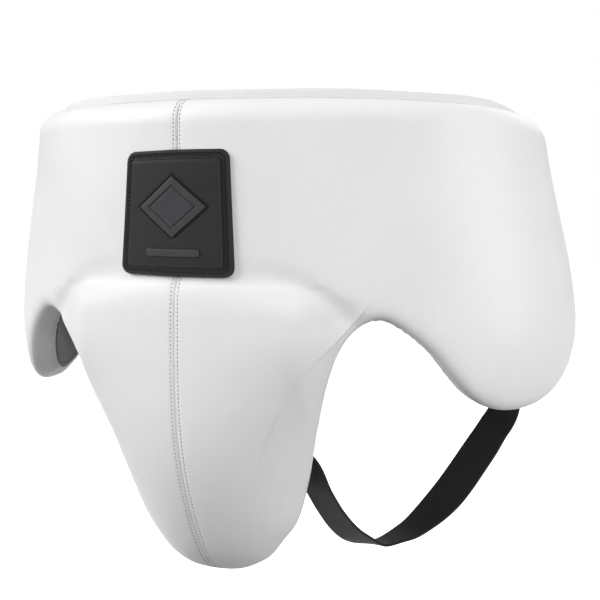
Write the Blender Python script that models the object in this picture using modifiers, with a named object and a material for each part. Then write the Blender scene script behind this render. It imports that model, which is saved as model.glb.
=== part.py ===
"""A boxing groin protector: a padded leather apron with a hard cup, leg straps and an elastic back belt."""

import math

import bmesh
import bpy
import numpy as np

# Lengths are millimetres and angles are degrees. The waist opening lies at z = 0 and the front is -Y.
MM = 0.001

# The middle surface of the pad: half ellipses that widen from the waist down to the hips.
WAIST_HALF_WIDTH = 169.0
WAIST_FRONT = 124.7
HIP_HALF_WIDTH = 191.0
HIP_FRONT = 129.5
HIP_DROP = 150.0
ARC = 165.0  # millimetres of outline for each radian round the waist
LOBE_CURL = 11.0  # how far the lobes' lower edge curls in
CURL_DROP = 135.0
CURL_SPAN = 55.0
CURL_FROM, CURL_BLEND = 0.65, 0.5  # radians round from the front
CUP_BULGE = 5.0
CUP_TOP = 112.0
CUP_SLOPE = 20.0
CUP_ANGLE = 24.0
CUP_SOFT = 13.0
TIP_DROP = 297.0
TIP_TUCK = 42.0  # how far the tip bends back under the wearer
TUCK_DROP = 180.0
CUP_WRAP = 0.0070  # how far the cup's sides bend back, per square millimetre
WRAP_DROP = 140.0
WRAP_SPAN = 120.0

# Half outlines as (angle, height), from the lowest point at the centre to the highest.
TIP_EDGE = [(0, -TIP_DROP), (5.5, -295), (10.5, -287), (14, -274), (16.8, -261), (19.8, -235), (23, -205)]
CUP_EDGE = TIP_EDGE + [(26.8, -172)]
LOBE_EDGE = [(38, -132.5), (42, -137), (48, -151), (54, -170), (59.5, -182), (67, -189.5), (75, -191)]
REAR_EDGE = [(84, -187), (92, -178), (99, -164), (104, -144), (107.5, -118), (109, -78), (109, -42)]
TOP_EDGE = [(107, -22), (101, -12), (90, -8), (78, -5.2), (60, -2.7), (30, -0.5), (0, 0)]
APRON_OUTLINE = CUP_EDGE + [(30, -148), (33.5, -136.5)] + LOBE_EDGE + REAR_EDGE + TOP_EDGE
BELT_OUTLINE = [(0, -108.5), (12, -109), (22, -112), (30, -120)] + LOBE_EDGE + REAR_EDGE + TOP_EDGE
CUP_OUTLINE = CUP_EDGE + [(28.6, -154), (28.5, -141), (26, -130), (20, -123), (10, -119.5), (0, -119)]
# Where each outline turns from its bottom edge to its rear edge, and from there to its top edge.
APRON_TURNS = BELT_TURNS = ((84, -187), (107, -22))
CUP_TURNS = ((14, -274), (28.5, -141))
SIDES = {1: "left", -1: "right"}

# The layers of the pad, outside in. Each level is a distance out from the middle surface.
PAD_HALF = 11.0
EDGE_ROUND = 14.0  # how far in from the outline the rounded edge reaches
LEATHER = 1.4
GAP = 0.4
FOAM_HALF = 8.1
CUP_FOAM_OUTER = 7.3
SEAM_GAP = 0.25
LINING_OUTER, LINING_INNER = -11.5, -12.4  # it laps over the turned-in leather
CUP_SHELL_OUTER, CUP_SHELL_INNER = 1.6, -1.6
CUP_INSET, CUP_ROUND = 7.2, 6.0
GASKET_RADIUS, GASKET_INSET = 2.1, 4.7
LINING_INSET = EDGE_ROUND - 2.0
PAD_GRID = (20, 13)  # columns and rows of points over one half of the pad

BINDING_FOOT, BINDING_TOP = -1.8, 6.0
BINDING_THICK = 2.2
BINDING_LEVEL = -7.6
BINDING_END = 99.0
SEAM_TAPE_WIDTH, SEAM_TAPE_THICK, SEAM_TAPE_LEVEL = 18.0, 0.4, 8.75
SEAM_TAPE_FOOT, SEAM_TAPE_HEAD = -104.0, -14.0

PATCH_SIDE = 77.0
PATCH_ARC = 188.0  # millimetres round the bulging front for each radian, at the badge
PATCH_MIDDLE = -69.0
PATCH_THICK = 1.8
PATCH_PANEL_SIDE = 66.0
PATCH_PANEL_THICK = 1.1
EMBLEM_WIDE, EMBLEM_TALL, EMBLEM_THICK = 46.0, 36.0, 0.9
EMBLEM_MIDDLE = -65.0
BAR_WIDE, BAR_TALL, BAR_MIDDLE = 36.0, 4.5, -93.0

STRAP_WIDTH = 25.0
STRAP_THICK = 2.0
STRAP_NECK = 9.0  # the sewn ends narrow to this
NECK_LENGTH = 10.0
# Where the straps' ends hang, as (angle, height, level).
STRAP_WING = (94, -154, -21.5)
STRAP_CUP = (17, -218, -22.0)
STRAP_TILT = 18.0  # how far the strap's plane leans back from the vertical, in degrees
# The strap's hanging curve: (run from wing towards cup, drop below that line, turn of its width out of its plane).
STRAP_ROUTE = [
    (0, 0, -15), (26, 34, -18), (40, 47, -24), (53, 58, -28), (81, 79, -25), (107, 90.5, -4), (121, 92.5, 9),
    (136, 92, 24), (147, 82.5, 35), (153.5, 71.5, 36), (158.5, 55, 33), (161, 38, 36), (166, 20, 52), (177, 0, 80),
]
# The sewn tabs, from the strap's end up to the pad's inner face.
TAB_TOP_WIDTH, TAB_FOOT_WIDTH, TAB_THICK = 28.0, 16.0, 1.4
TAB_CLEAR, TAB_HEIGHT, TAB_LEVEL = 4.0, 26.0, -15.0

# The back belt leaves the wings' rear edges and closes behind the wearer.
BELT_TOP, BELT_BOTTOM = -30.0, -105.0
BELT_THICK = 3.0
BELT_BACK = 104.0
BELT_HINGE_ANGLE, BELT_HINGE_LEVEL = 110.3, -6.0
BELT_FLARE = 5.0  # how much wider the belt's lower edge is behind the wearer
OVERLAP = 7.2  # how far the long belt's end lies outside the short belt
OVERLAP_FROM, OVERLAP_SPREAD = 55.0, 45.0
ROOT_THICK = 1.8
ROOT_STEPS = [(96, -15.0), (99.5, -15.0), (103, -14.7), (106, -13.3), (108.6, -10.8)]  # (angle, level)
PANEL_THICK = 1.4
HINGE_TURN = 1.5
# Each piece's two ends, in degrees round the wearer's back from the left hinge.
LONG_BELT_TURNS, SHORT_BELT_TURNS = (HINGE_TURN, 141), (180 - HINGE_TURN, 104)
HOOK_TURNS, LOOP_TURNS, PULL_TAB_TURNS = (110, 139), (172, 106), (142.2, 149)
HOOK_MARGIN, LOOP_MARGIN, PULL_TAB_MARGIN = 6.0, 4.0, 14.0
PULL_TAB_THICK = 1.8


def smooth(t):
    t = np.clip(t, 0, 1)
    return t * t * (3 - 2 * t)


def middle(angle, z):
    """The pad's middle surface at an angle round from the front, in radians, and a height."""
    z = z + 0 * angle
    hip = smooth(-z / HIP_DROP)
    curl = LOBE_CURL * np.clip((-CURL_DROP - z) / CURL_SPAN, 0, 1.2) ** 2 * smooth((angle - CURL_FROM) / CURL_BLEND)
    half_width = WAIST_HALF_WIDTH + (HIP_HALF_WIDTH - WAIST_HALF_WIDTH) * hip - curl
    front = WAIST_FRONT + (HIP_FRONT - WAIST_FRONT) * hip - 0.5 * curl
    x = half_width * np.sin(angle)
    y = (HIP_FRONT - WAIST_FRONT) * hip - front * np.cos(angle)
    in_cup = 1 - smooth((np.degrees(np.abs(angle)) - CUP_ANGLE) / CUP_SOFT)
    y = y - CUP_BULGE * in_cup * smooth((-CUP_TOP - z) / CUP_SLOPE)
    y = y + CUP_WRAP * in_cup * smooth((-WRAP_DROP - z) / WRAP_SPAN) * x * x
    y = y + TIP_TUCK * in_cup * np.clip((-TUCK_DROP - z) / (TIP_DROP - TUCK_DROP), 0, 1.1) ** 2
    return np.stack([x, y, z], -1)


def raised(flat, level):
    """Points a level out from the middle surface, for unrolled points (arc, height)."""
    angle, z = flat[..., 0] / ARC, flat[..., 1]
    step = 1e-3
    along = middle(angle + step, z) - middle(angle - step, z)
    up = middle(angle, z + 0.1) - middle(angle, z - 0.1)
    out = np.cross(along, up)
    out /= np.linalg.norm(out, axis=-1, keepdims=True)
    return middle(angle, z) + np.asarray(level)[..., None] * out


def curve_through(points, count):
    """Evenly spaced points on a Catmull-Rom curve through the given ones."""
    points = np.array(points, float)
    points = np.vstack([2 * points[0] - points[1], points, 2 * points[-1] - points[-2]])
    t = np.linspace(0, 1, 24, endpoint=False)[:, None]
    spans = [points[-2:-1]]
    for a, b, c, d in reversed(list(zip(points, points[1:], points[2:], points[3:]))):
        bend = (2 * a - 5 * b + 4 * c - d) * t**2 + (3 * b - a - 3 * c + d) * t**3
        spans.insert(0, b + 0.5 * ((c - a) * t + bend))
    fine = np.vstack(spans)
    run = np.r_[0, np.cumsum(np.linalg.norm(np.diff(fine, axis=0), axis=1))]
    even = np.linspace(0, run[-1], count)
    return np.stack([np.interp(even, run, fine[:, k]) for k in range(fine.shape[1])], 1)


def unrolled(outline, columns, rows, first_turn, last_turn):
    """An outline's bottom, rear and top stretches as one line of points, with their inward normals."""
    flat = np.array([(math.radians(angle) * ARC, z) for angle, z in outline])
    fine = curve_through(flat, 600)
    ends = [np.argmin(np.linalg.norm(fine - flat[outline.index(turn)], axis=1)) for turn in (first_turn, last_turn)]
    picks = np.concatenate([
        np.linspace(0, ends[0], columns),
        np.linspace(ends[0], ends[1], rows)[1:],
        np.linspace(ends[1], 599, columns)[1:],
    ])
    line = np.stack([np.interp(picks, range(600), fine[:, k]) for k in (0, 1)], 1)
    along = np.gradient(line, axis=0)
    along[0], along[-1] = (1, 0), (-1, 0)  # square to the centre line at both ends
    inward = np.stack([-along[:, 1], along[:, 0]], 1)
    return line, inward / np.linalg.norm(inward, axis=1, keepdims=True)


def patch_between(line, columns, rows):
    """A Coons patch of flat points whose sides are the line's three stretches and the centre line."""
    bottom, rear, top = line[:columns], line[columns - 1 : columns + rows - 1], line[columns + rows - 2 :][::-1]
    u, v = np.linspace(0, 1, columns)[:, None, None], np.linspace(0, 1, rows)[None, :, None]
    centre = bottom[0] + (top[0] - bottom[0]) * v[0]
    flat = (1 - v) * bottom[:, None] + v * top[:, None] + (1 - u) * centre[None] + u * rear[None]
    corners = (1 - u) * (1 - v) * bottom[0] + u * (1 - v) * bottom[-1] + (1 - u) * v * top[0] + u * v * top[-1]
    return flat - corners


def material(name, colour, roughness, metallic=0.0):
    made = bpy.data.materials.new(name)
    made.use_nodes = True
    shader = made.node_tree.nodes["Principled BSDF"]
    shader.inputs["Base Color"].default_value = (*colour, 1)
    shader.inputs["Roughness"].default_value = roughness
    shader.inputs["Metallic"].default_value = metallic
    made.diffuse_color = (*colour, 1)
    return made


def body(name, grids, look, side=1, fill=True):
    """One object from grids of points in millimetres: neighbours are welded and open ends are filled."""
    mesh = bmesh.new()
    for grid in grids:
        corners = [[mesh.verts.new((side * x * MM, y * MM, z * MM)) for x, y, z in row] for row in grid]
        for lower, upper in zip(corners, corners[1:]):
            for a, b, c, d in zip(lower, lower[1:], upper[1:], upper):
                mesh.faces.new((a, b, c, d))
    bmesh.ops.remove_doubles(mesh, verts=mesh.verts, dist=1e-7)
    bmesh.ops.dissolve_degenerate(mesh, edges=mesh.edges, dist=1e-7)
    if fill:
        bmesh.ops.holes_fill(mesh, edges=[edge for edge in mesh.edges if edge.is_boundary], sides=0)
    bmesh.ops.recalc_face_normals(mesh, faces=mesh.faces)
    made = bpy.data.meshes.new(name)
    mesh.to_mesh(made)
    mesh.free()
    made.shade_smooth()
    made.set_sharp_from_angle(angle=math.radians(40))
    made.materials.append(look)
    placed = bpy.data.objects.new(name, made)
    protector.objects.link(placed)
    return placed


def mirror(half):
    modifier = half.modifiers.new("Mirror", "MIRROR")
    modifier.merge_threshold = 0.0001
    return half


def layer_grids(outline, turns, size, outer, inner, inset=0.0, rounding=None, start=0.0, turn_steps=4):
    """The outer face, the rounded edge and the inner face of one layer of the pad's half."""
    columns, rows = size
    line, inward = unrolled(outline, columns, rows, *turns)
    line[:, 0] = np.maximum(line[:, 0], start)
    half, mid = (outer - inner) / 2, (outer + inner) / 2
    rounding = half if rounding is None else rounding
    face = patch_between(line + inward * (inset + rounding), columns, rows)
    edge = []
    for turn in np.linspace(0, math.pi, 2 * turn_steps + 1):
        flat = line + inward * (inset + rounding * (1 - math.sin(turn)))
        edge.append(raised(flat, mid + half * math.cos(turn)))
    return [raised(face, outer), edge, raised(face, inner)]


def leather_panel(side):
    """One side's leather: over the front, round the edge and back to the lining's seam."""
    grids = layer_grids(APRON_OUTLINE, APRON_TURNS, PAD_GRID, PAD_HALF, -PAD_HALF, rounding=EDGE_ROUND, start=SEAM_GAP, turn_steps=3)
    panel = body(f"leather_panel_{SIDES[side]}", grids[:2], leather, side, fill=False)
    shell = panel.modifiers.new("Leather thickness", "SOLIDIFY")
    shell.thickness = LEATHER * MM
    shell.offset = -1
    return panel


def ribbon(name, one_edge, other_edge, thick, look, side=1):
    """A flat band between two lines of points, with square edges."""
    one_edge, other_edge = np.array(one_edge), np.array(other_edge)
    along = np.gradient((one_edge + other_edge) / 2, axis=0)
    normal = np.cross(along, other_edge - one_edge)
    normal *= thick / 2 / np.linalg.norm(normal, axis=1, keepdims=True)
    corners = [one_edge - normal, other_edge - normal, other_edge + normal, one_edge + normal, one_edge - normal]
    return body(name, [np.stack(corners, 1)], look, side)


def tube(name, line, radius, look):
    """A closed or open round bead along a line of points."""
    curve = bpy.data.curves.new(name, "CURVE")
    curve.dimensions = "3D"
    curve.bevel_depth = radius * MM
    curve.bevel_resolution = 1
    curve.use_fill_caps = True
    spline = curve.splines.new("POLY")
    spline.points.add(len(line) - 1)
    for point, place in zip(spline.points, line):
        point.co = (*(place * MM), 1)
    spline.use_cyclic_u = True
    curve.materials.append(look)
    placed = bpy.data.objects.new(name, curve)
    protector.objects.link(placed)
    return placed


def square_outline(across, tall, corner):
    """Half of a rounded rectangle on the patch's middle, from bottom to top, with its two turning points."""
    turns = [math.radians(turn) for turn in (-90, -60, -30, 0, 30, 60, 90)]
    half, rise = across / 2 - corner, tall / 2 - corner
    low = [(half + corner * math.cos(turn), -rise + corner * math.sin(turn)) for turn in turns[:4]]
    high = [(half + corner * math.cos(turn), rise + corner * math.sin(turn)) for turn in turns[3:]]
    flat = [(0, -rise - corner), (half / 2, -rise - corner), *low, (half + corner, 0), *high]
    flat += [(half / 2, rise + corner), (0, rise + corner)]
    outline = [(math.degrees(x / PATCH_ARC), PATCH_MIDDLE + z) for x, z in flat]
    return outline, (outline[3], outline[9])


def slab(name, outline, turns, level, thick, look, rounding, size=(5, 5)):
    """A thin piece that follows the front of the pad, made as a half and mirrored."""
    grids = layer_grids(outline, turns, size, level + thick, level, rounding=rounding, turn_steps=2)
    return mirror(body(name, grids, look, fill=False))


def pad_point(angle, z, level):
    return raised(np.array([math.radians(angle) * ARC, z]), level)


def strap_end(angle, z, level):
    """The point on the pad's inner side where a strap hangs, at the strap's own height."""
    x, y, _ = pad_point(angle, z, level)
    return np.array([x, y, z])


def strap_lines():
    """The two edges of the left leg strap."""
    wing, cup = strap_end(*STRAP_WING), strap_end(*STRAP_CUP)
    route = curve_through(STRAP_ROUTE, 33)
    span = (cup - wing) / np.linalg.norm(cup - wing)
    down = np.array([0, 0, -1]) + span * span[2]
    down /= np.linalg.norm(down)
    lean = math.radians(STRAP_TILT)
    hang = math.cos(lean) * down + math.sin(lean) * np.cross(down, span)
    out_of_plane = np.cross(hang, span)
    middle_line = wing + route[:, :1] / STRAP_ROUTE[-1][0] * (cup - wing) + route[:, 1:2] * hang
    along = np.gradient(middle_line, axis=0)
    along /= np.linalg.norm(along, axis=1, keepdims=True)
    in_plane = np.cross(along, out_of_plane)
    turn = np.radians(route[:, 2:])
    run = np.r_[0, np.cumsum(np.linalg.norm(np.diff(middle_line, axis=0), axis=1))]
    from_end = np.minimum(run, run[-1] - run)[:, None]
    wide = STRAP_NECK + (STRAP_WIDTH - STRAP_NECK) * smooth(from_end / NECK_LENGTH)
    width = (np.cos(turn) * out_of_plane + np.sin(turn) * in_plane) * wide / 2
    return middle_line - width, middle_line + width


def strap_tab(name, place, side):
    """A sewn tab from the pad's inner face down to a strap's end."""
    angle, z, level = place
    head_z = z + TAB_CLEAR + TAB_HEIGHT
    line = curve_through(
        [pad_point(angle, head_z, TAB_LEVEL), pad_point(angle, (z + head_z) / 2, (TAB_LEVEL + level) / 2),
         strap_end(angle, z, level) + (0, 0, TAB_CLEAR)], 7,
    )
    across = pad_point(angle + 1, head_z, level) - pad_point(angle - 1, head_z, level)
    across /= np.linalg.norm(across)
    width = np.linspace(TAB_TOP_WIDTH, TAB_FOOT_WIDTH, 7)[:, None] / 2 * across
    return ribbon(name, line - width, line + width, TAB_THICK, leather, side)


def hinge_point(z):
    return pad_point(BELT_HINGE_ANGLE, z, BELT_HINGE_LEVEL)


def belt_line(z, first, last, out, count=21):
    """Points round the wearer's back at a height, between two turns that run from 0 to 180 degrees."""
    x, y, _ = hinge_point(z)
    flare = BELT_FLARE * (z - BELT_TOP) / (BELT_BOTTOM - BELT_TOP)
    turn = np.radians(np.linspace(first, last, count))
    depth = BELT_BACK + flare - y
    normal = np.stack([depth * np.cos(turn), x * np.sin(turn)], 1)
    normal /= np.linalg.norm(normal, axis=1, keepdims=True)
    plan = np.stack([x * np.cos(turn), y + depth * np.sin(turn)], 1) + out(turn)[:, None] * normal
    return np.column_stack([plan, z + 0 * turn])


def belt_piece(name, first, last, out, thick, look, margin=0.0, count=21):
    top, bottom = BELT_TOP - margin, BELT_BOTTOM + margin
    return ribbon(name, belt_line(top, first, last, out, count), belt_line(bottom, first, last, out, count), thick, look)


for old in list(bpy.data.objects):
    bpy.data.objects.remove(old, do_unlink=True)
protector = bpy.data.collections.new("groin_protector")
bpy.context.scene.collection.children.link(protector)

leather = material("white leather", (0.80, 0.80, 0.80), 0.45)
foam = material("closed-cell foam", (0.65, 0.67, 0.60), 0.95)
shell_plastic = material("cup shell polyethylene", (0.75, 0.75, 0.72), 0.4)
rubber = material("edge rubber", (0.05, 0.05, 0.05), 0.7)
lining_cloth = material("grey lining", (0.42, 0.42, 0.43), 0.8)
binding_tape = material("white binding", (0.84, 0.84, 0.84), 0.7)
seam_tape = material("seam tape", (0.7, 0.7, 0.68), 0.8)
patch_leather = material("black patch leather", (0.025, 0.025, 0.025), 0.5)
webbing = material("black elastic webbing", (0.012, 0.012, 0.012), 0.85)
hook_and_loop = material("hook and loop", (0.01, 0.01, 0.01), 1.0)

# The padded apron, outside in.
for side, name in SIDES.items():
    leather_panel(side)
    foam_grids = layer_grids(
        BELT_OUTLINE, BELT_TURNS, (14, 9), FOAM_HALF, -FOAM_HALF,
        inset=LEATHER + 3 * GAP, rounding=EDGE_ROUND - LEATHER, start=SEAM_GAP, turn_steps=2,
    )
    body(f"belt_foam_{name}", foam_grids, foam, side)
    lining_grids = layer_grids(
        APRON_OUTLINE, APRON_TURNS, PAD_GRID, LINING_OUTER, LINING_INNER,
        inset=LINING_INSET, rounding=0.5, start=SEAM_GAP, turn_steps=1,
    )
    body(f"lining_{name}", lining_grids, lining_cloth, side)

cup_layers = {
    "cup_foam_front": (CUP_FOAM_OUTER, CUP_SHELL_OUTER + GAP, foam),
    "cup_shell": (CUP_SHELL_OUTER, CUP_SHELL_INNER, shell_plastic),
    "cup_foam_back": (CUP_SHELL_INNER - GAP, -FOAM_HALF, foam),
}
for name, (outer, inner, look) in cup_layers.items():
    grids = layer_grids(
        CUP_OUTLINE, CUP_TURNS, (8, 12), outer, inner, inset=CUP_INSET, rounding=CUP_ROUND, turn_steps=2
    )
    mirror(body(name, grids, look, fill=False))

gasket_flat, gasket_inward = unrolled(CUP_OUTLINE, 9, 10, *CUP_TURNS)
gasket_half = raised(gasket_flat + GASKET_INSET * gasket_inward, 0)
gasket_line = np.vstack([gasket_half, (gasket_half * (-1, 1, 1))[-2:0:-1]])
tube("cup_gasket", gasket_line, GASKET_RADIUS, rubber)

# The tape behind the centre seam, under the leather.
tape_heights = np.linspace(SEAM_TAPE_FOOT, SEAM_TAPE_HEAD, 9)
tape_edges = [
    raised(np.stack([shift + 0 * tape_heights, tape_heights], 1), SEAM_TAPE_LEVEL)
    for shift in (-SEAM_TAPE_WIDTH / 2, SEAM_TAPE_WIDTH / 2)
]
ribbon("centre_seam_tape", *tape_edges, SEAM_TAPE_THICK, seam_tape)

# The binding that stands along the top edge, inside the leather's roll.
top_half = [(angle, z) for angle, z in TOP_EDGE[::-1] if angle < BINDING_END] + [(BINDING_END, -10.8)]
top_line = curve_through([(math.radians(angle) * ARC, z) for angle, z in top_half], 24)
binding_middle = raised(top_line, BINDING_LEVEL)
binding_middle = np.vstack([(binding_middle * (-1, 1, 1))[:0:-1], binding_middle])
binding_middle[:, 2] = np.r_[top_line[:0:-1, 1], top_line[:, 1]]
binding_edges = [binding_middle + (0, 0, rise) for rise in (BINDING_FOOT, BINDING_TOP)]
ribbon("top_binding", *binding_edges, BINDING_THICK, binding_tape)

# The badge: a stitched base, a raised panel, a plain lozenge and a bar.
base_level = PAD_HALF + 2 * GAP
panel_level = base_level + PATCH_THICK + GAP
emblem_level = panel_level + PATCH_PANEL_THICK + GAP
slab("patch_base", *square_outline(PATCH_SIDE, PATCH_SIDE, 6.5), base_level, PATCH_THICK, patch_leather, 0.7)
slab(
    "patch_panel", *square_outline(PATCH_PANEL_SIDE, PATCH_PANEL_SIDE, 5.0), panel_level, PATCH_PANEL_THICK,
    patch_leather, 1.0,
)
lozenge = [(0, -EMBLEM_TALL / 2), (EMBLEM_WIDE / 4, -EMBLEM_TALL / 4), (EMBLEM_WIDE / 2 - 1, -1), (EMBLEM_WIDE / 2 - 1, 1)]
lozenge += [(EMBLEM_WIDE / 4, EMBLEM_TALL / 4), (0, EMBLEM_TALL / 2)]
lozenge = [(math.degrees(x / PATCH_ARC), EMBLEM_MIDDLE + z) for x, z in lozenge]
slab(
    "patch_lozenge", lozenge, (lozenge[1], lozenge[4]), emblem_level, EMBLEM_THICK, patch_leather, 0.6, (4, 3)
)
bar = [(angle, z - PATCH_MIDDLE + BAR_MIDDLE) for angle, z in square_outline(BAR_WIDE, BAR_TALL, 1.2)[0]]
slab("patch_bar", bar, (bar[3], bar[9]), emblem_level, EMBLEM_THICK, patch_leather, 0.4, (4, 3))

# The leg straps and the tabs that hold their ends.
for side, name in SIDES.items():
    ribbon(f"leg_strap_{name}", *strap_lines(), STRAP_THICK, webbing, side)
    strap_tab(f"wing_tab_{name}", STRAP_WING, side)
    strap_tab(f"cup_tab_{name}", STRAP_CUP, side)

# The back belt: a sewn root on each wing, the long belt on the left and the short one on the right.
for side, name in SIDES.items():
    edges = []
    for z in (BELT_TOP - 1, BELT_BOTTOM + 1):
        root = [pad_point(angle, z, level) for angle, level in ROOT_STEPS]
        edges.append(curve_through(root, 9))
    ribbon(f"belt_root_{name}", *edges, ROOT_THICK, leather, side)


def long_belt_out(turn):
    return OVERLAP * smooth((np.degrees(turn) - OVERLAP_FROM) / OVERLAP_SPREAD)


def short_belt_out(turn):
    return 0 * turn


belt_piece("belt_long", *LONG_BELT_TURNS, long_belt_out, BELT_THICK, webbing, count=33)
belt_piece("belt_short", *SHORT_BELT_TURNS, short_belt_out, BELT_THICK, webbing)
belt_piece(
    "hook_panel", *HOOK_TURNS, lambda turn: long_belt_out(turn) - BELT_THICK / 2 - GAP - PANEL_THICK / 2,
    PANEL_THICK, hook_and_loop, margin=HOOK_MARGIN,
)
belt_piece(
    "loop_panel", *LOOP_TURNS, lambda turn: short_belt_out(turn) + BELT_THICK / 2 + GAP + PANEL_THICK / 2,
    PANEL_THICK, hook_and_loop, margin=LOOP_MARGIN,
)
belt_piece(
    "pull_tab", *PULL_TAB_TURNS, long_belt_out, PULL_TAB_THICK, leather, margin=PULL_TAB_MARGIN, count=5
)
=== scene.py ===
"""A boxing groin protector: a padded white leather apron over a hard cup, with leg straps and a back belt."""

import math

import bmesh
import bpy
import numpy as np
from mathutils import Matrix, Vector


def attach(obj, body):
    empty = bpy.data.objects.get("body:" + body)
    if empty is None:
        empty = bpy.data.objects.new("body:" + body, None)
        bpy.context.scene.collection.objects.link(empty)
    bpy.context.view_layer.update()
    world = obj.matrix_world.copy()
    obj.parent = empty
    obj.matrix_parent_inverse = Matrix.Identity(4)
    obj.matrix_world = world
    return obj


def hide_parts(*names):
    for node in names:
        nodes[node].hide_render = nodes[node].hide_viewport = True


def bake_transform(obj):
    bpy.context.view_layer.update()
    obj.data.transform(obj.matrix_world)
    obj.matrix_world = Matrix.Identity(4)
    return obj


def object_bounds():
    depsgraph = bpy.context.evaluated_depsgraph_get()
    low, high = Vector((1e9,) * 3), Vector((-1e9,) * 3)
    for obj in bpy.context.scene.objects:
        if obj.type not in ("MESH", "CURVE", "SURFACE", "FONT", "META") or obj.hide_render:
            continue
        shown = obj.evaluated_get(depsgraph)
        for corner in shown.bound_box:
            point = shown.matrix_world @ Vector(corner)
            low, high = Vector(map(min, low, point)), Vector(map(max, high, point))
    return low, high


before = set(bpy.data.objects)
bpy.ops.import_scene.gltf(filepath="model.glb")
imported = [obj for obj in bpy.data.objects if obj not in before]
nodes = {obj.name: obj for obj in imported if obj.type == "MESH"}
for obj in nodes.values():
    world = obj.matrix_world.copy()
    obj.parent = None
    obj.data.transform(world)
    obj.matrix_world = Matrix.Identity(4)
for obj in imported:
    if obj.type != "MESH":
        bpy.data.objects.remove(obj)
cad_box = [list(corner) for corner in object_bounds()]
MM = 0.001

# The studio: the guard hangs over a plain white floor, seen from the wearer's left front, slightly from above.
# A large soft light stands on the far side, a fill light on the near one, and weaker ones in front and behind.
# A pale sky lights what faces up.


def linear(hex_colour):
    """An sRGB hex colour as linear red, green, blue and alpha."""
    parts = [int(hex_colour[i : i + 2], 16) / 255 for i in (1, 3, 5)]
    return (*(c / 12.92 if c <= 0.04045 else ((c + 0.055) / 1.055) ** 2.4 for c in parts), 1)


def add(tree, kind, inputs=None, links=None, **settings):
    """One node with its settings, its socket values and what is linked into it."""
    made = tree.nodes.new(kind)
    for name, value in settings.items():
        setattr(made, name, value)
    for socket, value in (inputs or {}).items():
        made.inputs[socket].default_value = value
    for socket, source in (links or {}).items():
        tree.links.new(source, made.inputs[socket])
    return made


def new_finish(name, values):
    """A new material under its common name, with its shader's plain values, its nodes and its shader."""
    made = bpy.data.materials.new(name)
    made.use_nodes = True
    shader = made.node_tree.nodes["Principled BSDF"]
    for socket, value in values.items():
        shader.inputs[socket].default_value = value
    return made, made.node_tree, shader


def fed(tree, shader, sources):
    """Links what varies over the surface into the shader."""
    for socket, source in sources.items():
        tree.links.new(source, shader.inputs[socket])


scene = bpy.context.scene
scene.view_settings.view_transform = "Standard"

eye = bpy.data.cameras.new("camera")
eye.lens, eye.sensor_width = 87.31, 36.0
camera = bpy.data.objects.new("camera", eye)
camera.location = (0.4838, -0.8797, -0.0618)
camera.rotation_euler = (math.radians(90 - 3.878), 0, math.radians(28.18))
scene.collection.objects.link(camera)
scene.camera = camera

FLOOR_DROP, FLOOR_HALF = 0.16, 8
floor_mesh = bpy.data.meshes.new("floor")
floor_z = cad_box[0][2] - FLOOR_DROP
corners = [(x * FLOOR_HALF, y * FLOOR_HALF, floor_z) for x, y in ((-1, -1), (1, -1), (1, 1), (-1, 1))]
floor_mesh.from_pydata(corners, [], [(0, 1, 2, 3)])
floor = bpy.data.objects.new("floor", floor_mesh)
floor.visible_diffuse = False  # the floor doesn't throw light up under the guard
scene.collection.objects.link(floor)
# Background paper: dead matt and evenly lit, so it reads as plain white.
paper, *_ = new_finish(
    "matt white paper",
    {
        "Base Color": linear("#FFFFFF"), "Roughness": 1.0, "Emission Color": linear("#FFFFFF"),
        "Emission Strength": 0.7,
    },
)
floor_mesh.materials.append(paper)

world = bpy.data.worlds.new("studio")
world.use_nodes = True
scene.world = world
sky = world.node_tree
sky.nodes.clear()
path = add(sky, "ShaderNodeLightPath")
where = add(sky, "ShaderNodeTexCoord")
height = add(sky, "ShaderNodeSeparateXYZ", links={0: where.outputs["Generated"]})
shade = add(
    sky, "ShaderNodeMapRange", {"From Min": -0.9, "From Max": 0.7, "To Min": 0.0, "To Max": 0.50},
    {"Value": height.outputs["Z"]}, interpolation_type="SMOOTHSTEP",
)
seen = add(sky, "ShaderNodeMix", {"B": 1.0}, {"Factor": path.outputs["Is Camera Ray"], "A": shade.outputs[0]})
glow = add(sky, "ShaderNodeBackground", links={"Color": seen.outputs[0]})
add(sky, "ShaderNodeOutputWorld", links={"Surface": glow.outputs[0]})

LIGHTS = {
    "key": ((-1.3, -1.05, 0.75), (0.0, -0.05, -0.12), 1.1, 24.0),
    "fill": ((1.85, -0.15, 0.2), (0.05, 0.0, -0.10), 1.2, 18.0),
    "front": ((0.55, -1.85, 0.45), (0.0, 0.0, -0.12), 1.0, 11.0),
    "back": ((0.3, 1.5, 0.9), (0.0, 0.0, -0.10), 1.2, 7.0),
}
for name, (place, aim, size, power) in LIGHTS.items():
    lamp = bpy.data.lights.new(name, "AREA")
    lamp.shape, lamp.size, lamp.energy = "DISK", size, power
    stand = bpy.data.objects.new(name, lamp)
    stand.location = place
    away = np.array(place) - np.array(aim)
    flat = math.hypot(away[0], away[1])
    stand.rotation_euler = (math.atan2(flat, away[2]), 0, math.atan2(away[1], away[0]) + math.pi / 2)
    scene.collection.objects.link(stand)

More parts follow.
